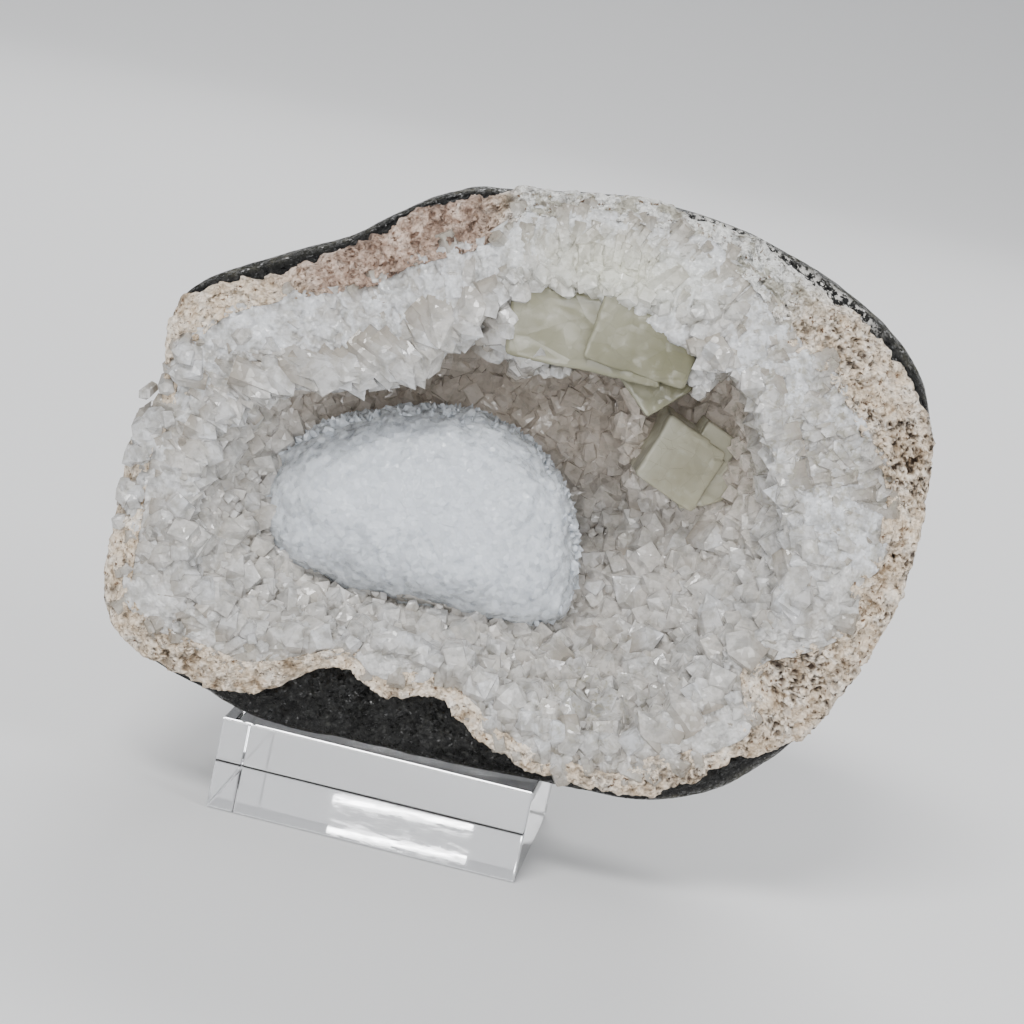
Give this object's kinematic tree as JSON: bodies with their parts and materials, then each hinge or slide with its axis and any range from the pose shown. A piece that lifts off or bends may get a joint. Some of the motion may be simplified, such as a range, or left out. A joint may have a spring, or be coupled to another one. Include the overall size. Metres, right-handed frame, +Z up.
{
  "type": "goosecreekite specimen",
  "caption": "Half a basalt geode lined with quartz crystals, with a white goosecreekite ball and pale calcite in its hollow, on a clear acrylic display block.",
  "frame": {"origin": "centre of the bounding box on the surface that the display block stands on", "axes": "+Z up, +X to the right along the stone's length as seen from its open side, -Y out of the open side"},
  "size_m": [0.147, 0.0724, 0.1282],
  "materials": {
    "basalt": "rough broken rock with glassy grains",
    "altered_rock": "crumbly matte",
    "quartz": "glassy crystal faces",
    "goosecreekite": "satin with small glints",
    "calcite": "translucent with flat cleavage faces",
    "acrylic": "clear and polished"
  },
  "bodies": {
    "root": {"basalt_matrix": "basalt", "altered_rind": "altered_rock", "quartz_crust": "quartz", "goosecreekite_ball": "goosecreekite", "calcite_upper": "calcite", "calcite_lower": "calcite", "display_block": "acrylic"}
  },
  "joints": []
}
